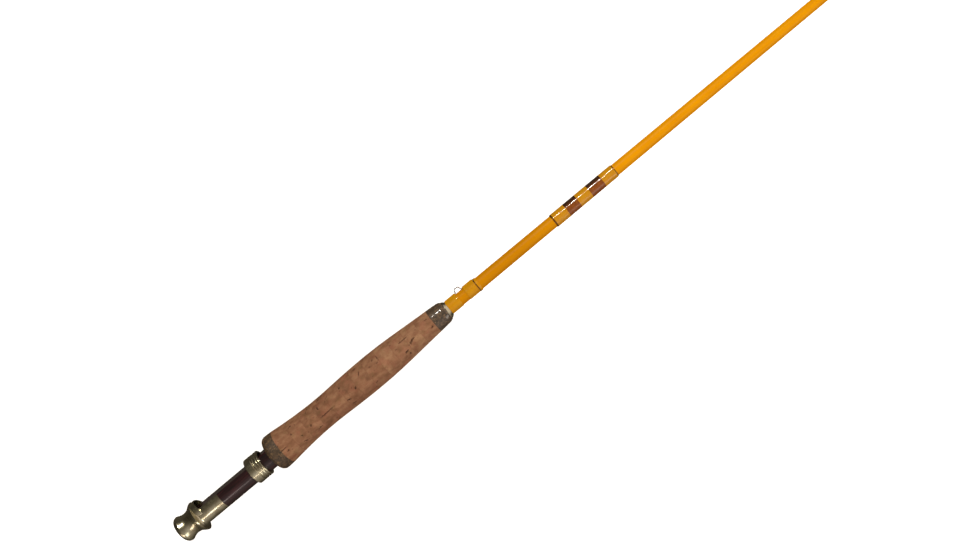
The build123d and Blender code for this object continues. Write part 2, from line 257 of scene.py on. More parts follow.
def attribute(tree: bpy.types.NodeTree, name: str) -> bpy.types.NodeSocket:
    """The value that a mesh carries under a name."""
    return add(tree, "Attribute", {"attribute_name": name}).outputs["Fac"]


# ---------------------------------------------------------------- finishes
@dataclass(frozen=True)
class Finish:
    """What every finish has: the name that its material carries."""

    name: str

    def material(self) -> bpy.types.Material:
        """Makes the finish's material, or finds it if it is made already."""
        known = bpy.data.materials.get(self.name)
        if known:
            return known
        made = bpy.data.materials.new(self.name)
        made.use_nodes = True
        tree = made.node_tree
        self.lay(tree, tree.nodes["Principled BSDF"].inputs, tree.links)
        return made

    def lay(self, tree: bpy.types.NodeTree, shader: Any, links: Any) -> None:
        """Sets the shader's sockets. Each finish has its own."""
        raise NotImplementedError


@dataclass(frozen=True)
class NickelSilver(Finish):
    """Nickel silver turned on a lathe, polished and then touched by hands for years.

    It gives a warm, slightly yellow mirror, blurred by fine turning lines and by dull greenish brown patches where
    the polish has gone.
    """

    bright: str = "cdc9ae"
    dull: str = "a39a7c"
    roughness: float = 0.18
    lines: float = 0.35  # turning marks, drawn three times as coarse as real ones so that they show

    def lay(self, tree: bpy.types.NodeTree, shader: Any, links: Any) -> None:
        """Sets the metal's colour, dullness and turning lines."""
        patches = remap(tree, speckle(tree, 5.0, 4.0), 0.42, 0.66, 0.0, 1.0)
        stains = remap(tree, speckle(tree, 1.3, 3.0, seed=3.0), 0.5, 0.75, 0.0, 0.5)
        tarnish = add(tree, "Math", {"operation": "MAXIMUM"}, {0: patches, 1: stains}).outputs[0]
        links.new(blend_colours(tree, tarnish, self.bright, self.dull), shader["Base Color"])
        shader["Metallic"].default_value = 1.0
        links.new(remap(tree, tarnish, 0.0, 1.0, self.roughness, self.roughness + 0.14), shader["Roughness"])
        links.new(relief(tree, turning_lines(tree, self.lines, 0.4), 0.004), shader["Normal"])


@dataclass(frozen=True)
class LacqueredRosewood(Finish):
    """Dark rosewood, turned, stained by age and lacquered.

    It gives a nearly black red brown with long grain, under a hard clear skin with a thin bright line.
    """

    heart: str = "250c0f"
    dark: str = "140708"
    warm: str = "3f181c"
    coat_roughness: float = 0.16

    def lay(self, tree: bpy.types.NodeTree, shader: Any, links: Any) -> None:
        """Sets the wood's grain and its lacquer."""
        grain = speckle(tree, 1.1, 5.0, stretch=14.0)
        figure = add(
            tree,
            "ValToRGB",
            None,
            {0: grain},
            stops=((0.32, self.dark), (0.52, self.heart), (0.72, self.warm)),
        ).outputs[0]
        pores = remap(tree, speckle(tree, 0.35, 2.0, stretch=30.0, seed=5.0), 0.62, 0.7, 0.0, 0.8)
        links.new(blend_colours(tree, pores, figure, self.dark), shader["Base Color"])
        shader["Roughness"].default_value = 0.42
        shader["Specular IOR Level"].default_value = 0.15
        shader["Coat Weight"].default_value = 1.0
        shader["Coat Roughness"].default_value = self.coat_roughness
        links.new(relief(tree, grain, 0.03), shader["Normal"])


@dataclass(frozen=True)
class NaturalCork(Finish):
    """Punched cork rings, glued up, turned and sanded, then darkened by hands.

    It gives a dry, warm brown with soft mottling, brown pores that go into the surface, and no shine.
    """

    light: str = "a87f5d"
    middle: str = "92674a"
    dark: str = "785136"
    pore: str = "4a2f1d"
    bark: str = "6e4b34"
    rose: str = "9b5f48"
    olive: str = "7f6640"

    def lay(self, tree: bpy.types.NodeTree, shader: Any, links: Any) -> None:
        """Sets the cork's mottling, its pores and its grain."""
        tone = attribute(tree, "tone")
        seed = add(tree, "Math", {"operation": "MULTIPLY"}, {0: tone, 1: 37.0}).outputs[0]
        mottle = add(
            tree, "Math", {"operation": "ADD"}, {0: speckle(tree, 4.0, 5.0, 1.6, seed), 1: tone}
        ).outputs[0]
        body = add(
            tree,
            "ValToRGB",
            None,
            {0: mottle},
            stops=((0.3, self.dark), (0.5, self.middle), (0.72, self.light)),
        ).outputs[0]
        blush = remap(tree, speckle(tree, 5.5, 2.0, 1.3, 11.0), 0.5, 0.68, 0.0, 0.4)
        green = remap(tree, speckle(tree, 4.2, 2.0, 1.3, 23.0), 0.54, 0.7, 0.0, 0.4)
        hued = blend_colours(tree, green, blend_colours(tree, blush, body, self.rose), self.olive)
        grain = speckle(tree, 0.7, 3.0, 1.5, 31.0)
        freckles = remap(tree, grain, 0.56, 0.72, 0.0, 0.45)
        grained = blend_colours(tree, freckles, hued, self.bark)
        patched = blend_colours(tree, attribute(tree, "patch"), grained, self.bark)
        links.new(blend_colours(tree, attribute(tree, "pit"), patched, self.pore), shader["Base Color"])
        shader["Roughness"].default_value = 0.78
        shader["Specular IOR Level"].default_value = 0.3
        links.new(relief(tree, grain, 0.12, relief(tree, mottle, 0.1)), shader["Normal"])


@dataclass(frozen=True)
class BurlCork(Finish):
    """Composition burl cork: dark cork chips pressed in a binder, turned and sanded.

    It gives a mosaic of olive and brown chips, and a wet gloss where a clear coat is on it.
    """

    coat: float = 0.0
    chips: tuple[str, ...] = ("3a2c1b", "4f3d28", "604a32", "7a6040")

    def lay(self, tree: bpy.types.NodeTree, shader: Any, links: Any) -> None:
        """Sets the chips, the binder's dark lines and the coat."""
        place = add(tree, "TexCoord").outputs["Object"]
        wobble = add(tree, "TexNoise", None, {"Vector": place, "Scale": 500.0, "Detail": 2.0}).outputs[1]
        shift = add(
            tree, "VectorMath", {"operation": "MULTIPLY_ADD"}, {0: wobble, 1: (MM,) * 3, 2: place}
        ).outputs[0]
        chip_scale = 1 / (1.3 * MM)
        cells = add(tree, "TexVoronoi", None, {"Vector": shift, "Scale": chip_scale})
        seams = add(
            tree, "TexVoronoi", {"feature": "DISTANCE_TO_EDGE"}, {"Vector": shift, "Scale": chip_scale}
        ).outputs["Distance"]
        shade = add(tree, "SeparateColor", None, {0: cells.outputs["Color"]}).outputs[0]
        mosaic = add(
            tree, "ValToRGB", None, {0: shade}, stops=list(zip((0.1, 0.45, 0.75, 0.97), self.chips))
        ).outputs[0]
        grain = speckle(tree, 0.6, 3.0, seed=7.0)
        mottled = blend_colours(tree, remap(tree, grain, 0.45, 0.68, 0.0, 0.55), mosaic, self.chips[0])
        binder = remap(tree, seams, 0.02, 0.1, 0.7, 0.0)
        links.new(blend_colours(tree, binder, mottled, self.chips[0]), shader["Base Color"])
        shader["Roughness"].default_value = 0.62
        shader["Coat Weight"].default_value = self.coat
        shader["Coat Roughness"].default_value = 0.12
        links.new(relief(tree, grain, 0.08), shader["Normal"])


@dataclass(frozen=True)
class YellowGlass(Finish):
    """Glass cloth in amber yellow resin, rolled, cured and finished with a satin varnish.

    It gives a saturated yellow with faint lengthwise fibre, a broad soft sheen, and painted shade that darkens it
    towards the grip.
    """

    resin: str = "f0a002"
    pale: str = "f9ae04"
    deep: str = "d58302"
    roughness: float = 0.4
    gloss: float = 0.05
    painted_grip_shade: str = "d48b02"  # painted shade: the colour near the grip, darker towards the butt where the light falls off

    def lay(self, tree: bpy.types.NodeTree, shader: Any, links: Any) -> None:
        """Sets the resin's colour, its fibre and its varnish."""
        fibre = speckle(tree, 0.5, 3.0, stretch=60.0)
        cloud = speckle(tree, 22.0, 2.0, seed=9.0)
        tinted = blend_colours(tree, remap(tree, cloud, 0.4, 0.65, 0.0, 0.5), self.resin, self.pale)
        along = add(tree, "SeparateXYZ", None, {0: add(tree, "TexCoord").outputs["Object"]}).outputs[0]
        # painted shade: the blank turns darker towards the butt end, where the light falls off
        wear_and_shade = blend_colours(tree, remap(tree, along, 0.34, 0.45, 1.0, 0.0), tinted, self.painted_grip_shade)
        strands = remap(tree, fibre, 0.45, 0.75, 0.0, 0.35)
        links.new(blend_colours(tree, strands, wear_and_shade, self.deep), shader["Base Color"])
        shader["Roughness"].default_value = self.roughness
        shader["Specular IOR Level"].default_value = self.gloss
        links.new(relief(tree, fibre, 0.01), shader["Normal"])


@dataclass(frozen=True)
class CoatedThread(Finish):
    """Nylon thread wound on turn by turn and flooded with clear epoxy.

    It gives fine lines round the rod seen through a clear, liquid-looking gloss.
    """

    thread: str = "d79304"
    shade: str = "bd7c03"
    soak: str = "dba206"
    reel_side: str = "d29304"  # what the colour turns to on the reel's side
    coat: float = 0.3
    coat_roughness: float = 0.06
    turns: float = 0.3  # thread pitch, drawn twice as coarse as size A thread so that it shows

    def lay(self, tree: bpy.types.NodeTree, shader: Any, links: Any) -> None:
        """Sets the thread's colours, its turns and the epoxy over it."""
        lines = remap(tree, turning_lines(tree, self.turns, 0.6), 0.15, 0.6, 0.45, 0.0)
        uneven = remap(tree, speckle(tree, 2.2, 3.0, seed=13.0), 0.42, 0.66, 0.0, 0.6)
        soaked = blend_colours(tree, uneven, self.thread, self.soak)
        wound = blend_colours(tree, lines, soaked, self.shade)
        height = add(tree, "SeparateXYZ", None, {0: add(tree, "TexCoord").outputs["Object"]}).outputs[1]
        turned = remap(tree, height, 2.6 * MM, 4.4 * MM, 0.0, 0.9)
        links.new(blend_colours(tree, turned, wound, self.reel_side), shader["Base Color"])
        shader["Roughness"].default_value = 0.5
        shader["Specular IOR Level"].default_value = 0.1
        shader["Coat Weight"].default_value = self.coat
        shader["Coat Roughness"].default_value = self.coat_roughness
        links.new(relief(tree, turning_lines(tree, self.turns), 0.012), shader["Normal"])


@dataclass(frozen=True)
class ChromedWire(Finish):
    """Stainless wire, bent, tinned and hard chromed.

    It gives a cold bright mirror with a slight draw along the wire.
    """

    plate: str = "d9dade"
    scuffed: str = "9a9ca3"

    def lay(self, tree: bpy.types.NodeTree, shader: Any, links: Any) -> None:
        """Sets the plate's colour and its faint scuffing."""
        scuff = speckle(tree, 0.8, 3.0, stretch=3.0)
        wear_and_shade = remap(tree, scuff, 0.5, 0.75, 0.0, 0.4)
        links.new(blend_colours(tree, wear_and_shade, self.plate, self.scuffed), shader["Base Color"])
        shader["Metallic"].default_value = 1.0
        links.new(remap(tree, scuff, 0.35, 0.7, 0.1, 0.24), shader["Roughness"])


@dataclass(frozen=True)
class GlazedCeramic(Finish):
    """Fired alumina, ground and polished for the line to run on.

    It gives a dense grey with a sharp glassy highlight.
    """

    body: str = "6b6a6c"
    shade: str = "57565a"

    def lay(self, tree: bpy.types.NodeTree, shader: Any, links: Any) -> None:
        """Sets the ceramic's colour and gloss."""
        cloud = remap(tree, speckle(tree, 1.0, 3.0), 0.4, 0.7, 0.0, 0.5)
        links.new(blend_colours(tree, cloud, self.body, self.shade), shader["Base Color"])
        shader["Roughness"].default_value = 0.12


@dataclass(frozen=True)
class StudioPaper(Finish):
    """Matt white seamless paper, lit from below its surface as well, so that shadows on it stay faint."""

    paper: str = "f4f4f2"
    tooth: str = "f8f8f7"
    glow: float = 0.8

    def lay(self, tree: bpy.types.NodeTree, shader: Any, links: Any) -> None:
        """Sets the paper's colour and glow."""
        patches = remap(tree, speckle(tree, 40.0, 2.0), 0.3, 0.7, 0.0, 1.0)
        links.new(blend_colours(tree, patches, self.paper, self.tooth), shader["Base Color"])
        shader["Roughness"].default_value = 0.9
        shader["Specular IOR Level"].default_value = 0.1
        shader["Emission Color"].default_value = linear(self.paper)
        shader["Emission Strength"].default_value = self.glow


class Thread(Enum):
    """The threads on the rod."""

    YELLOW = CoatedThread("epoxy_coated_yellow_nylon_thread")
    LABEL = CoatedThread("epoxy_flooded_yellow_nylon_thread", coat=0.75, coat_roughness=0.09)
    BROWN = CoatedThread(
        "epoxy_flooded_brown_nylon_thread",
        thread="8a4608",
        shade="602c02",
        soak="ad6114",
        reel_side="2c1a0c",
        coat=0.85,
        coat_roughness=0.09,
    )
    CHESTNUT = CoatedThread(
        "epoxy_coated_chestnut_nylon_thread",
        thread="6b420b",
        shade="3f2708",
        soak="7d5410",
        reel_side="5a3a0c",
    )


NICKEL = NickelSilver("polished_nickel_silver")
BRIGHT_NICKEL = NickelSilver("buffed_nickel_silver", dull="c0b698", roughness=0.12)
ROSEWOOD = LacqueredRosewood("lacquered_rosewood")
CORK = NaturalCork("sanded_natural_cork")
BURL = BurlCork("sanded_burl_cork")
SEALED_BURL = BurlCork("clear_coated_burl_cork", coat=0.9)
GLASS = YellowGlass("varnished_yellow_fibreglass")
BARE_GLASS = YellowGlass("ground_yellow_fibreglass", resin="d9a03c", pale="e3b55a", deep="b57c22", roughness=0.5)
CHROME = ChromedWire("hard_chromed_wire")
CERAMIC = GlazedCeramic("polished_alumina_ceramic")
PAPER = StudioPaper("white_seamless_paper")


def dress(piece: bpy.types.Object, finish: Finish) -> None:
    """Gives a piece one finish all over.

    Args:
        piece: the piece.
        finish: what it is made of.
    """
    piece.data.materials.clear()
    piece.data.materials.append(finish.material())


# ---------------------------------------------------------------- mesh work
@dataclass(frozen=True)
class Outline:
    """A turned piece's outline, read from its CAD solid, in millimetres."""

    stations: np.ndarray
    radii: np.ndarray
    bore: tuple[float, float]

    @classmethod
    def of(cls, node: str) -> Outline:
        """Reads the outline of a CAD node.

        Args:
            node: the node's name.

        Returns:
            The largest radius at each station, and the bore at the two ends.
        """
        points = np.array([v.co for v in bpy.data.objects[node].data.vertices]) / MM
        along, out = np.round(points[:, 0], 2), np.hypot(points[:, 1], points[:, 2])
        stations = np.unique(along)
        radii = np.array([out[along == x].max() for x in stations])
        ends = tuple(float(out[along == x].min()) for x in (stations[0], stations[-1]))
        return cls(stations, radii, ends)

    def at(self, x: np.ndarray | float) -> np.ndarray:
        """The radius at some stations."""
        return np.interp(x, self.stations, self.radii)


def ripple(points: np.ndarray, size: float, seed: int, waves: int = 40) -> np.ndarray:
    """Smooth random waves in space, the same on each run.

    Args:
        points: the points, in millimetres.
        size: the usual length of a wave, in millimetres.
        seed: which pattern.
        waves: how many waves are added up.

    Returns:
        A value for each point, about zero with a spread of one.
    """
    draw = np.random.default_rng(seed)
    ways = draw.normal(size=(waves, 3))
    ways *= math.tau / (size * draw.uniform(0.6, 1.8, (waves, 1)) * np.linalg.norm(ways, axis=1, keepdims=True))
    start = draw.uniform(0, math.tau, waves)
    total = np.zeros(points.shape[:-1])
    for way, phase in zip(ways, start):
        total += np.cos(points @ way + phase)
    return total * math.sqrt(2 / waves)


@dataclass
class Sleeve:
    """A closed tube round the rod: a radius for each station and each angle, and a bore.

    Angles run from +Z, which faces up, towards +Y, the reel's side.
    """

    stations: np.ndarray
    radii: np.ndarray
    bore: tuple[float, float]
    values: dict[str, np.ndarray] | None = None

    @staticmethod
    def angles(sectors: int) -> np.ndarray:
        """Evenly spaced angles once round the rod."""
        return np.arange(sectors) * (math.tau / sectors)

    def points(self) -> np.ndarray:
        """The surface's points, in millimetres, station by station."""
        turn = self.angles(self.radii.shape[1])
        return np.stack(
            [
                np.broadcast_to(self.stations[:, None], self.radii.shape),
                self.radii * np.sin(turn),
                self.radii * np.cos(turn),
            ],
            axis=-1,
        )

    def mesh_parts(self, first: int) -> tuple[np.ndarray, np.ndarray]:
        """Gives the tube's vertices and faces.

        Args:
            first: the number of its first vertex in the mesh that it goes into.

        Returns:
            Vertices in millimetres, and faces as rows of four vertex numbers.
        """
        rings, sectors = self.radii.shape
        turn = self.angles(sectors)
        ends = [
            np.stack([np.full(sectors, x), r * np.sin(turn), r * np.cos(turn)], axis=-1)
            for x, r in zip((self.stations[0], self.stations[-1]), self.bore)
        ]
        grid = np.concatenate([ends[0][None], self.points(), ends[1][None]])
        here = np.arange((rings + 2) * sectors).reshape(rings + 2, sectors)
        ahead = np.roll(here, -1, axis=0)
        faces = np.stack([here, ahead, np.roll(ahead, -1, axis=1), np.roll(here, -1, axis=1)], axis=-1)
        return grid.reshape(-1, 3), faces.reshape(-1, 4) + first


def build(name: str, sleeves: Iterable[Sleeve], crease: float = 40.0) -> bpy.types.Object:
    """Makes one object from closed tubes.

    Args:
        name: the object's name.
        sleeves: the tubes.
        crease: edges sharper than this many degrees stay crisp.

    Returns:
        The object, in metres.
    """
    vertices, faces, values = [], [], {}
    count = 0
    for sleeve in sleeves:
        grid, quads = sleeve.mesh_parts(count)
        vertices.append(grid)
        faces.append(quads)
        for key, value in (sleeve.values or {}).items():
            values.setdefault(key, []).append(np.concatenate([value[:1], value, value[-1:]]).reshape(-1))
        count += len(grid)
    mesh = bpy.data.meshes.new(name)
    mesh.from_pydata((np.concatenate(vertices) * MM).tolist(), [], np.concatenate(faces).tolist())
    for key, parts in values.items():
        layer = mesh.attributes.new(key, "FLOAT", "POINT")
        layer.data.foreach_set("value", np.concatenate(parts).astype(np.float32))
    mesh.shade_smooth()
    mesh.set_sharp_from_angle(angle=math.radians(crease))
    piece = bpy.data.objects.new(name, mesh)
    bpy.context.scene.collection.objects.link(piece)
    return piece


def put(piece: bpy.types.Object, body: str, slot: str, finish: Finish, *nodes: str) -> None:
    """Puts a new piece in place of CAD nodes.

    Args:
        piece: the new piece.
        body: the body that it moves with.
        slot: the record's material slot; not used.
        finish: what it is made of.
        nodes: the CAD nodes that it stands for.
    """
    dress(piece, finish)
    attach(piece, body)
    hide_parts(*nodes)
    LOG.info("%s: %d faces on %s", piece.name, len(piece.data.polygons), body)


def carry(frame: dict[str, Any], finish: Finish, *nodes: str) -> None:
    """Keeps CAD nodes as they are, with a finish.

    Args:
        frame: the loaded frame.
        finish: what they are made of.
        nodes: their names.
    """
    for node in nodes:
        dress(frame["nodes"][node], finish)
        LOG.info("%s: carried over as %s", node, finish.name)


# ---------------------------------------------------------------- reel seat
@dataclass
class ReelSeat:
    """The turned metal cap with its hood, the wood insert and the sliding ring."""

    def assemble(self, frame: dict[str, Any]) -> None:
        """Dresses the seat's parts.

        Args:
            frame: the loaded frame.
        """
        carry(frame, NICKEL, "butt_cap", "sliding_ring")
        carry(frame, BRIGHT_NICKEL, "winding_check")
        carry(frame, ROSEWOOD, "reel_seat_insert")


# ---------------------------------------------------------------- grip
@dataclass(frozen=True)
class Mark:
    """A pore or a stained patch on the grip."""

    x: float  # along the rod
    angle: float  # degrees from +Z towards the reel's side
    length: float
    width: float
    tilt: float = 0.0  # degrees that its length turns from the rod's direction towards the reel's side
    depth: float = 0.3
    soft: bool = False  # a stained patch, with no hole


@dataclass
class Grip:
    """Twelve natural cork rings between two of burl cork, shaped as one."""

    pitch: float = 0.26  # between stations of a ring
    sectors: int = 336
    seam_depth: float = 0.07
    seam_width: float = 0.16
    grain_depth: float = 0.025
    pores: int = 13  # on each ring, over and above the large marks
    tones: tuple[float, ...] = (-0.02, 0.0, -0.05, -0.1, -0.01, -0.05, 0.02, 0.0, 0.05, 0.04, 0.1, 0.07)
    marks: tuple[Mark, ...] = (
        Mark(105.3, 2.7, 8.0, 0.9, depth=0.25),
        Mark(116.8, 24.0, 1.6, 1.2),
        Mark(133.0, 4.6, 2.0, 1.4, depth=0.2),
        Mark(137.3, -25.0, 4.5, 1.0, 8.0, 0.2),
        Mark(143.1, 26.0, 4.6, 11.0, soft=True),
        Mark(144.7, 37.0, 1.5, 2.6, depth=0.35),
        Mark(148.8, 3.6, 15.5, 0.9, 2.0, 0.25),
        Mark(170.5, 22.0, 4.2, 9.0, soft=True),
        Mark(177.8, 5.9, 1.9, 1.8, depth=0.6),
        Mark(186.7, 38.8, 4.6, 0.9, 58.0, 0.4),
        Mark(204.9, 39.0, 0.8, 4.4, depth=0.25),
        Mark(190.2, 10.0, 4.0, 7.0, soft=True),
        Mark(227.3, -28.0, 1.9, 1.6, depth=0.5),
        Mark(230.0, 31.0, 10.0, 0.8, 3.0, 0.15),
        Mark(234.0, 6.3, 6.6, 1.4, 21.0, 0.7),
        Mark(232.3, 1.0, 2.2, 1.5, 10.0, 0.7),
    )

    def assemble(self) -> None:
        """Builds the fourteen rings."""
        for number, tone in enumerate(self.tones, start=1):
            node = f"cork_ring_{number:02d}"
            piece = build(f"turned_{node}", [self.ring(node, 100 + number, tone, True)])
            put(piece, "butt_section", "cork", CORK, node)
        for seed, (node, finish) in enumerate((("rear_burl_ring", BURL), ("front_burl_ring", SEALED_BURL))):
            piece = build(f"turned_{node}", [self.ring(node, 200 + seed, 0.0, False)])
            put(piece, "butt_section", "burl_cork", finish, node)

    def ring(self, node: str, seed: int, tone: float, porous: bool) -> Sleeve:
        """Shapes one ring with its seams, grain and pores.

        Args:
            node: the CAD ring.
            seed: the ring's own random seed.
            tone: how much lighter it is than most, from -0.5 to 0.5.
            porous: whether it has pores.

        Returns:
            The ring's surface, with how deep in a pore and in a stain each point is.
        """
        outline = Outline.of(node)
        start, end = outline.stations[0], outline.stations[-1]
        steps = round((end - start) / self.pitch)
        stations = np.linspace(start, end, steps + 1)
        radii = np.repeat(outline.at(stations)[:, None], self.sectors, axis=1)
        points = Sleeve(stations, radii, outline.bore).points()
        edge = np.minimum(stations - start, end - stations)[:, None]
        seam = np.exp(-((edge / self.seam_width) ** 2))
        grain = np.clip(1 + ripple(points, 0.9, seed), 0, 2) / 2
        pit, patch = np.zeros_like(radii), np.zeros_like(radii)
        depth = np.zeros_like(radii)
        ragged = 0.28 * ripple(points, 1.3, seed + 500)
        marks = [m for m in self.marks if start - 10 < m.x < end + 10] + self.scatter(start, end, seed)
        for mark in marks if porous else ():
            turn = Sleeve.angles(self.sectors) - math.radians(mark.angle)
            across = radii * ((turn + math.pi) % math.tau - math.pi)
            along = (stations - mark.x)[:, None]
            cos, sin = math.cos(math.radians(mark.tilt)), math.sin(math.radians(mark.tilt))
            reach = np.hypot(
                (along * cos + across * sin) / (mark.length / 2), (across * cos - along * sin) / (mark.width / 2)
            )
            inside = np.clip((1.15 + ragged - reach) / 0.5, 0, 1)
            if mark.soft:
                patch = np.maximum(patch, 0.55 * np.clip((1.2 + ragged - reach) / 0.9, 0, 1))
            else:
                pit = np.maximum(pit, inside)
                depth = np.maximum(depth, mark.depth * inside * inside * (3 - 2 * inside))
        sunk = radii - self.seam_depth * seam - self.grain_depth * grain - depth
        stain = np.maximum(patch, 0.45 * seam)
        values = {"pit": pit * 0.85, "patch": stain, "tone": np.full_like(radii, tone)}
        return Sleeve(stations, sunk, outline.bore, values)

    def scatter(self, start: float, end: float, seed: int) -> list[Mark]:
        """Draws a ring's small pores.

        Args:
            start: where the ring starts.
            end: where it ends.
            seed: the ring's own random seed.

        Returns:
            The pores.
        """
        draw = np.random.default_rng(seed)
        found = []
        for _ in range(self.pores):
            size = 0.5 + 1.3 * draw.random() ** 2.5
            found.append(
                Mark(
                    draw.uniform(start, end),
                    draw.uniform(0, 360),
                    size * draw.uniform(1.0, 3.2),
                    size * draw.uniform(0.5, 0.9),
                    draw.normal(0, 28),
                    0.12 + 0.3 * size / 1.8,
                )
            )
        return found


# ---------------------------------------------------------------- blank
@dataclass(frozen=True)
class Taper:
    """The blank's outer shape: parallel under the grip, then an even taper to the tip."""

    radius: float = 5.3
    start: float = 290.0
    rate: float = 0.00225  # radius lost per millimetre of length

    def at(self, x: np.ndarray | float) -> np.ndarray:
        """The blank's radius at some stations."""
        return self.radius - self.rate * np.maximum(0.0, np.asarray(x) - self.start)


@dataclass
class Blank:
    """The two glass sections and the spigot that joins them."""

    taper: Taper = Taper()
    butt_bore: tuple[float, float] = (3.9, 2.62)
    tip_bore: tuple[float, float] = (2.65, 0.4)
    pitch: float = 2.0
    sectors: int = 64
    unevenness: float = 0.008

    def assemble(self, frame: dict[str, Any]) -> None:
        """Builds both sections and dresses the spigot.

        Args:
            frame: the loaded frame.
        """
        parts = (("butt_blank", "butt_section", self.butt_bore), ("tip_blank", "tip_section", self.tip_bore))
        for node, body, bore in parts:
            piece = build(f"rolled_{node}", [self.section(node, bore)])
            put(piece, body, "yellow_glass", GLASS, node)
        carry(frame, BARE_GLASS, "ferrule_spigot")

    def section(self, node: str, bore: tuple[float, float]) -> Sleeve:
        """Rolls one section, with the slight unevenness of wrapped cloth.

        Args:
            node: the CAD section.
            bore: the bore at its two ends.

        Returns:
            Its surface.
        """
        start, end = (corner.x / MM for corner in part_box(node))
        stations = np.linspace(start, end, round((end - start) / self.pitch) + 1)
        radii = np.repeat(self.taper.at(stations)[:, None], self.sectors, axis=1)
        points = Sleeve(stations, radii, bore).points()
        return Sleeve(stations, radii - self.unevenness * (1 + np.tanh(ripple(points, 9.0, 61))) / 2, bore)


# ---------------------------------------------------------------- thread
@dataclass
class Winding:
    """Thread wound round the blank, with or without a guide's foot under it."""

    node: str
    thread: Thread
    half_width: float = 0.0  # of the foot under it, to each side of the middle
    thickness: float = 0.33
    shoulders: tuple[float, float] = (0.9, 0.9)  # how long the epoxy's rounded ends are
    least_gap: float = 13.0  # between the two stretches over one guide's feet
    turns: float = 0.3
    turn_depth: float = 0.01
    sectors: int = 96

    @property
    def slot(self) -> str:
        """The record's slot for this thread."""
        colour = {"YELLOW": "yellow", "LABEL": "yellow", "BROWN": "brown", "CHESTNUT": "chestnut"}
        return colour[self.thread.name] + "_thread"

    def spans(self) -> list[tuple[float, float]]:
        """Where each stretch of thread starts and ends."""
        places = np.array([v.co.x for v in bpy.data.objects[self.node].data.vertices]) / MM
        stops = np.unique(np.round(places, 2))
        gaps = np.flatnonzero(np.diff(stops) > self.least_gap)
        if not self.half_width or len(stops) <= 2 or not len(gaps):
            return [(float(stops[0]), float(stops[-1]))]
        cut = gaps[0]
        return [(float(stops[0]), float(stops[cut])), (float(stops[cut + 1]), float(stops[-1]))]

    def assemble(self, taper: Taper, body: str) -> None:
        """Builds the winding.

        Args:
            taper: the blank's shape.
            body: the body that the winding moves with.
        """
        piece = build(f"wound_{self.node}", [self.stretch(taper, *span) for span in self.spans()])
        put(piece, body, self.slot, self.thread.value, self.node)

    def stretch(self, taper: Taper, start: float, end: float) -> Sleeve:
        """Winds one stretch.

        Args:
            taper: the blank's shape.
            start: where the thread starts.
            end: where it ends.

        Returns:
            Its surface: the blank's round, drawn out over a foot, with rounded ends and fine turns.
        """
        stations = np.linspace(start, end, max(12, round((end - start) / (self.turns / 4))) + 1)
        bare = taper.at(stations)
        cover = np.repeat((bare + self.thickness)[:, None], self.sectors, axis=1)
        if self.half_width:
            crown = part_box(self.node)[1].y / MM - 0.02
            cover = self.tent(cover[:, 0], crown, Sleeve.angles(self.sectors) - math.pi / 2)
        rise = np.ones_like(stations)
        for gap, length in ((stations - start, self.shoulders[0]), (end - stations, self.shoulders[1])):
            if length:
                rise *= np.sqrt(np.clip(1 - np.clip(1 - gap / length, 0, 1) ** 2, 0, 1))
        wave = 0.5 - 0.5 * np.cos(math.tau * (stations - start) / self.turns)
        height = (cover - bare[:, None]) * (0.12 + 0.88 * rise[:, None]) - self.turn_depth * wave[:, None]
        radii = bare[:, None] + np.maximum(height, 0.01)
        return Sleeve(stations, radii, (float(bare[0]), float(bare[-1])))

    def tent(self, flat: np.ndarray, crown: float, turn: np.ndarray) -> np.ndarray:
        """The round that thread takes when it is pulled tight over the blank and a foot on it.

        Args:
            flat: the winding's radius away from the foot, station by station.
            crown: the winding's height over the foot.
            turn: angles from the foot's middle.

        Returns:
            A radius for each station and angle.
        """
        away = np.abs((turn + math.pi) % math.tau - math.pi)[None, :]
        base = flat[:, None]
        corner = np.hypot(crown, self.half_width)
        edge = math.atan2(self.half_width, crown)
        touch = edge + np.arccos(np.clip(base / corner, -1, 1))
        top = crown / np.cos(np.minimum(away, edge))
        side = base / np.cos(np.clip(touch - away, 0, 1.4))
        return np.where(away <= edge, top, np.where(away < touch, side, base))


@dataclass
class Guides:
    """The hook keeper, the line guides and the tip-top."""

    snakes: int = 5

    def assemble(self, frame: dict[str, Any]) -> None:
        """Dresses the wire and ceramic parts.

        Args:
            frame: the loaded frame.
        """
        carry(frame, CHROME, "hook_keeper", "stripping_guide_frame", "tip_top_tube", "tip_top_loop")
        carry(frame, CHROME, *[f"snake_guide_{n}" for n in range(1, self.snakes + 1)])
        carry(frame, CERAMIC, "stripping_guide_ring")


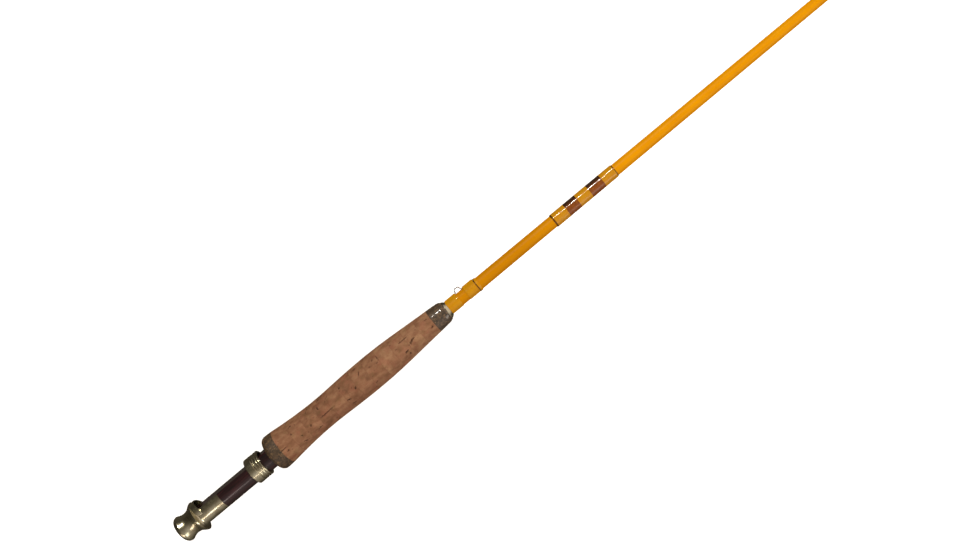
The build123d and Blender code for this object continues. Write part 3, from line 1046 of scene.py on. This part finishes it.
@dataclass
class Windings:
    """Every thread wrap on the rod."""

    wire_foot: float = 0.45
    pad_foot: float = 1.22
    band_thickness: float = 0.6  # the decorated bands carry more epoxy

    def pieces(self, frame: dict[str, Any]) -> list[Winding]:
        """Lists the windings.

        Args:
            frame: the loaded frame.

        Returns:
            One winding for each CAD node of thread.
        """
        wire, pad, band = self.wire_foot, self.pad_foot, self.band_thickness
        listed = [
            Winding("keeper_wrap_rear", Thread.YELLOW, wire),
            Winding("keeper_wrap_front", Thread.YELLOW, wire, shoulders=(0.9, 0.0)),
            Winding("keeper_trim", Thread.CHESTNUT, thickness=band, shoulders=(0.0, 0.0)),
            Winding("keeper_wrap_end", Thread.YELLOW, thickness=band, shoulders=(0.0, 1.2)),
            Winding("label_trim_rear", Thread.CHESTNUT, thickness=band, shoulders=(0.9, 0.0)),
            Winding("label_wrap_rear", Thread.LABEL, thickness=band, shoulders=(0.0, 0.0)),
            Winding("brown_band_rear", Thread.BROWN, thickness=band, shoulders=(0.0, 0.0)),
            Winding("label_wrap_middle", Thread.LABEL, thickness=band, shoulders=(0.0, 0.0)),
            Winding("brown_band_front", Thread.BROWN, thickness=band, shoulders=(0.0, 0.0)),
            Winding("label_wrap_front", Thread.LABEL, thickness=band, shoulders=(0.0, 0.0)),
            Winding("label_trim_front", Thread.CHESTNUT, thickness=band, shoulders=(0.0, 0.7)),
            Winding("stripping_guide_wraps", Thread.YELLOW, pad),
            Winding("butt_ferrule_wrap", Thread.YELLOW),
            Winding("tip_ferrule_wrap", Thread.YELLOW),
            Winding("tip_top_wrap", Thread.YELLOW),
        ]
        snakes = sorted(n for n in frame["nodes"] if n.startswith("snake") and "wraps" in n)
        listed += [Winding(node, Thread.YELLOW, wire) for node in snakes]
        return listed

    def assemble(self, frame: dict[str, Any]) -> None:
        """Builds every winding over the blank's own taper.

        Args:
            frame: the loaded frame.
        """
        for winding in self.pieces(frame):
            winding.assemble(Taper(), frame["nodes"][winding.node]["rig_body"])


# ---------------------------------------------------------------- studio
@dataclass(frozen=True)
class Lamp:
    """A rectangular soft light."""

    name: str
    x: float  # along the rod, in metres
    angle: float  # degrees from straight up towards the reel's side
    reach: float  # distance from the rod's line, in metres
    length: float  # along the rod, in metres
    width: float
    power: float  # in watts
    colour: str
    faces: float = 0.8  # where along the rod it points, in metres


@dataclass
class Studio:
    """The floor, the lights and the camera."""

    roll: float = 11.0  # degrees that the camera stands round the rod, from straight above to the reel's side
    slope: float = 39.78  # degrees that the rod climbs across the view
    aim: float = 0.312  # where along the rod the view is centred, in metres
    distance: float = 0.815
    lens: float = 38.5
    middle: float = 1.0  # middle of the rod, in metres
    paper_reach: float = 6.0  # from there to the paper's edge
    sky_angle: float = -40.0
    sky_strength: float = 1.0
    sky_shades: tuple[tuple[float, str], ...] = (
        (0.0, "575148"),
        (0.25, "3a342d"),
        (0.5, "433d35"),
        (0.68, "5f594e"),
        (0.8, "81776f"),
        (0.9, "a49a93"),
        (1.0, "c7bdb8"),
    )
    far_way: tuple[float, float, float] = (1.0, 0.05, 0.0)  # to the bright wall beyond the tip
    far_shade: str = "f4e2da"
    lamps: tuple[Lamp, ...] = (
        Lamp("key", 0.73, 53.0, 2.6, 0.24, 0.11, 48.0, "fff8ee"),
        Lamp("low_strip", -1.35, -36.0, 1.5, 2.0, 0.3, 11.0, "ffeee6", 0.1),
        Lamp("fill", 1.6, -50.0, 2.4, 1.6, 1.2, 22.0, "fffaf2", 0.9),
    )

    def across(self, degrees: float) -> Vector:
        """The direction at an angle from straight up towards the reel's side."""
        turn = math.radians(degrees)
        return Vector((0.0, math.sin(turn), math.cos(turn)))

    def camera(self) -> None:
        """Makes the camera, looking down on the butt with the rod running up to the right."""
        back, side = self.across(self.roll), self.across(self.roll + 90)
        slope = math.radians(self.slope)
        along = Vector((1.0, 0.0, 0.0))
        right = along * math.cos(slope) - side * math.sin(slope)
        up = along * math.sin(slope) + side * math.cos(slope)
        data = bpy.data.cameras.new("camera")
        data.sensor_width, data.lens = 36.0, self.lens
        data.clip_start, data.clip_end = 0.01, 50.0
        holder = bpy.data.objects.new("camera", data)
        turn = Matrix((right, up, back)).transposed().to_4x4()
        holder.matrix_world = Matrix.Translation(along * self.aim + back * self.distance) @ turn
        bpy.context.scene.collection.objects.link(holder)
        bpy.context.scene.camera = holder

    def light(self, lamp: Lamp) -> None:
        """Hangs one soft light beside the rod, turned to face it.

        Args:
            lamp: the light.
        """
        data = bpy.data.lights.new(lamp.name, "AREA")
        data.shape, data.size, data.size_y = "RECTANGLE", lamp.length, lamp.width
        data.energy, data.color = lamp.power, linear(lamp.colour)[:3]
        holder = bpy.data.objects.new(lamp.name, data)
        along = Vector((1.0, 0.0, 0.0))
        stand = along * lamp.x + self.across(lamp.angle) * lamp.reach
        back = (stand - along * lamp.faces).normalized()
        side = (along - back * along.dot(back)).normalized()
        turn = Matrix((side, back.cross(side), back)).transposed().to_4x4()
        holder.matrix_world = Matrix.Translation(stand) @ turn
        bpy.context.scene.collection.objects.link(holder)

    def sky(self) -> None:
        """Fills the room with soft light, dim on the reel's side and brightest on the other."""
        world = bpy.data.worlds.new("studio")
        world.use_nodes = True
        tree = world.node_tree
        way = add(tree, "TexCoord").outputs["Generated"]
        bright_side = tuple(self.across(self.sky_angle))
        lean = add(tree, "VectorMath", {"operation": "DOT_PRODUCT"}, {0: way, 1: bright_side}).outputs["Value"]
        shade = add(tree, "ValToRGB", None, {0: remap(tree, lean, -1.0, 1.0, 0.0, 1.0)}, stops=self.sky_shades)
        beyond = add(tree, "VectorMath", {"operation": "DOT_PRODUCT"}, {0: way, 1: self.far_way}).outputs["Value"]
        lit = blend_colours(tree, remap(tree, beyond, 0.7, 0.88, 0.0, 1.0), shade.outputs[0], self.far_shade)
        tree.links.new(lit, tree.nodes["Background"].inputs["Color"])
        tree.nodes["Background"].inputs["Strength"].default_value = self.sky_strength
        bpy.context.scene.world = world

    def floor(self, lowest: float) -> None:
        """Lays the paper that the rod lies on.

        Args:
            lowest: the rod's lowest point, in metres.
        """
        mesh = bpy.data.meshes.new("floor")
        half = self.paper_reach
        ways = ((-half, -half), (half, -half), (half, half), (-half, half))
        corners = [(self.middle + x, y, lowest) for x, y in ways]
        mesh.from_pydata(corners, [], [(0, 1, 2, 3)])
        sheet = bpy.data.objects.new("floor", mesh)
        bpy.context.scene.collection.objects.link(sheet)
        dress(sheet, PAPER)
        # the paper lights neither the rod nor its reflections
        sheet.visible_glossy = sheet.visible_diffuse = False
        sheet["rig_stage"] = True

    def assemble(self, lowest: float) -> None:
        """Sets up the whole studio.

        Args:
            lowest: the rod's lowest point, in metres.
        """
        self.camera()
        for lamp in self.lamps:
            self.light(lamp)
        self.sky()
        self.floor(lowest)
        view = bpy.context.scene.view_settings
        view.view_transform, view.look, view.exposure, view.gamma = "Standard", "None", 0.0, 1.0


def main() -> None:
    """Builds the rod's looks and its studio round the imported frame."""
    logging.basicConfig(level=logging.INFO, format="%(name)s %(message)s")
    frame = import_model()
    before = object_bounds()
    ReelSeat().assemble(frame)
    Grip().assemble()
    Blank().assemble(frame)
    Guides().assemble(frame)
    Windings().assemble(frame)
    Studio().assemble(before[0].z - FLOOR_GAP * MM)


if __name__ == "__main__":
    main()
